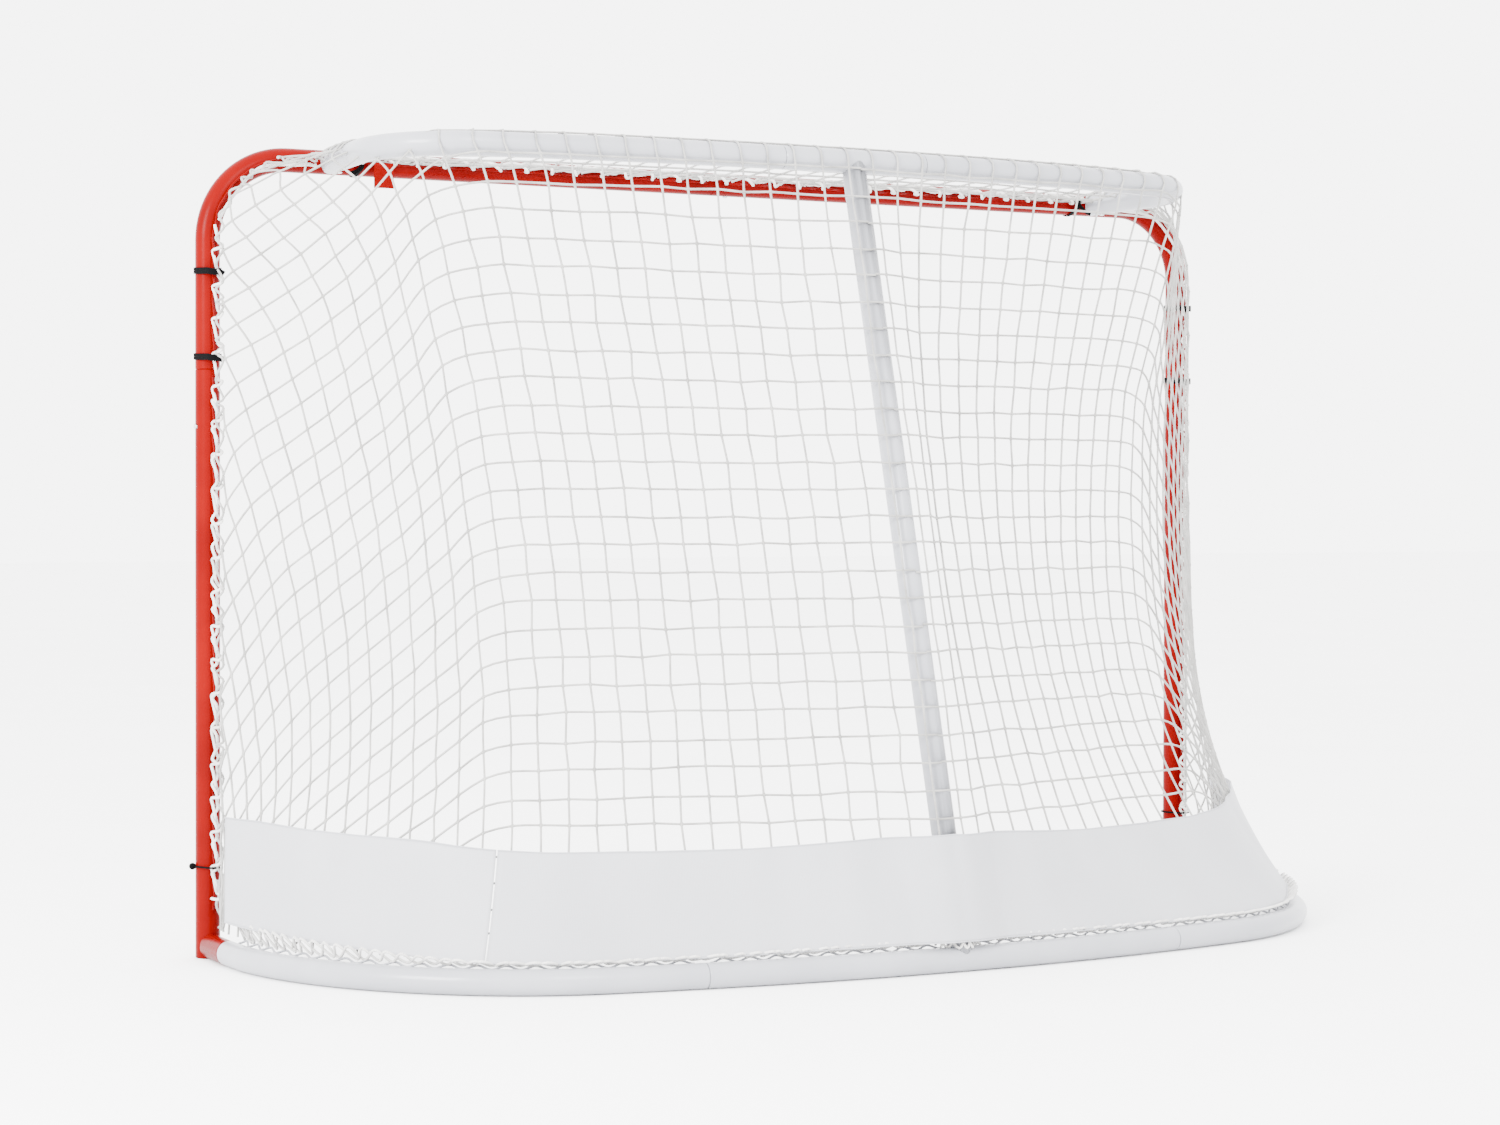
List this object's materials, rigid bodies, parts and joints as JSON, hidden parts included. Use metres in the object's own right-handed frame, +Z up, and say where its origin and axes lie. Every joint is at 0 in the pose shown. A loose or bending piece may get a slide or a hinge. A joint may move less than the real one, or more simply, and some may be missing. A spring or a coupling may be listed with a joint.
{
  "type": "ice hockey goal",
  "caption": "Knock-down ice hockey goal: tube frame with crossbar, top shelf and bowed base rail, cord net laced to welded wires, and a smooth band round its foot.",
  "frame": {"origin": "on the ground under the middle of the goal's bounding box", "axes": "+Z up, the mouth faces -Y, +X is to the left of someone who stands behind the goal"},
  "size_m": [1.9412, 0.7492, 1.2689],
  "materials": {
    "red_enamel": "glossy red enamel",
    "white_powder": "glossy white powder coat",
    "spring_steel": "bright spring steel",
    "zinc_steel": "zinc plated",
    "white_cord": "braided white cord",
    "white_vinyl": "coated cloth, semi-gloss",
    "black_webbing": "matt black webbing",
    "red_cloth": "red cloth"
  },
  "bodies": {
    "frame": {"back_net": "white_cord", "base_rail_left": "white_powder", "base_rail_middle": "white_powder", "base_rail_right": "white_powder", "centre_strut": "white_powder", "crossbar_clip": "spring_steel", "crossbar_lacing": "white_cord", "crossbar_tab": "red_cloth", "left_corner_wire": "red_enamel", "left_crossbar_strap": "black_webbing", "left_crossbar_wire": "red_enamel", "left_lower_strap": "black_webbing", "left_post": "red_enamel", "left_post_clip": "spring_steel", "left_post_lacing": "white_cord", "left_post_wire": "red_enamel", "left_rail_clip": "spring_steel", "left_rail_lacing": "white_cord", "left_rail_wire": "white_powder", "left_rear_wire": "white_powder", "left_shelf_screw": "zinc_steel", "left_side_net": "white_cord", "left_stub_clip": "spring_steel", "left_tie": "black_webbing", "left_upper_frame": "red_enamel", "left_upper_strap": "black_webbing", "right_corner_wire": "red_enamel", "right_crossbar_strap": "black_webbing", "right_crossbar_wire": "red_enamel", "right_lower_strap": "black_webbing", "right_post": "red_enamel", "right_post_clip": "spring_steel", "right_post_lacing": "white_cord", "right_post_wire": "red_enamel", "right_rail_clip": "spring_steel", "right_rail_lacing": "white_cord", "right_rail_wire": "white_powder", "right_rear_wire": "white_powder", "right_shelf_screw": "zinc_steel", "right_side_net": "white_cord", "right_stub_clip": "spring_steel", "right_tie": "black_webbing", "right_upper_frame": "red_enamel", "right_upper_strap": "black_webbing", "shelf_left": "white_powder", "shelf_right": "white_powder", "shelf_tee": "white_powder", "skirt_left": "white_vinyl", "skirt_right": "white_vinyl", "strut_lower_screw": "zinc_steel", "strut_upper_screw": "zinc_steel", "top_net": "white_cord"},
    "crossbar_button": {"crossbar_button": "spring_steel"},
    "left_post_button": {"left_post_button": "spring_steel"},
    "left_rail_button": {"left_rail_button": "spring_steel"},
    "left_stub_button": {"left_stub_button": "spring_steel"},
    "right_post_button": {"right_post_button": "spring_steel"},
    "right_rail_button": {"right_rail_button": "spring_steel"},
    "right_stub_button": {"right_stub_button": "spring_steel"}
  },
  "joints": [
    {"name": "crossbar_button_push", "type": "slide", "parent": "frame", "child": "crossbar_button", "axis": [0, 0, 1], "range_m": [0, 0.005], "stiffness_N_per_m": 900, "springref_m": -0.001},
    {"name": "left_post_button_push", "type": "slide", "parent": "frame", "child": "left_post_button", "axis": [-1, 0, 0], "range_m": [0, 0.005], "stiffness_N_per_m": 900, "springref_m": -0.001},
    {"name": "left_rail_button_push", "type": "slide", "parent": "frame", "child": "left_rail_button", "axis": [0.1628, 0.9867, 0], "range_m": [0, 0.005], "stiffness_N_per_m": 900, "springref_m": -0.001},
    {"name": "left_stub_button_push", "type": "slide", "parent": "frame", "child": "left_stub_button", "axis": [0.9998, -0.0181, 0], "range_m": [0, 0.005], "stiffness_N_per_m": 900, "springref_m": -0.001},
    {"name": "right_post_button_push", "type": "slide", "parent": "frame", "child": "right_post_button", "axis": [1, 0, 0], "range_m": [0, 0.005], "stiffness_N_per_m": 900, "springref_m": -0.001},
    {"name": "right_rail_button_push", "type": "slide", "parent": "frame", "child": "right_rail_button", "axis": [-0.1628, 0.9867, 0], "range_m": [0, 0.005], "stiffness_N_per_m": 900, "springref_m": -0.001},
    {"name": "right_stub_button_push", "type": "slide", "parent": "frame", "child": "right_stub_button", "axis": [-0.9998, -0.0181, 0], "range_m": [0, 0.005], "stiffness_N_per_m": 900, "springref_m": -0.001}
  ]
}
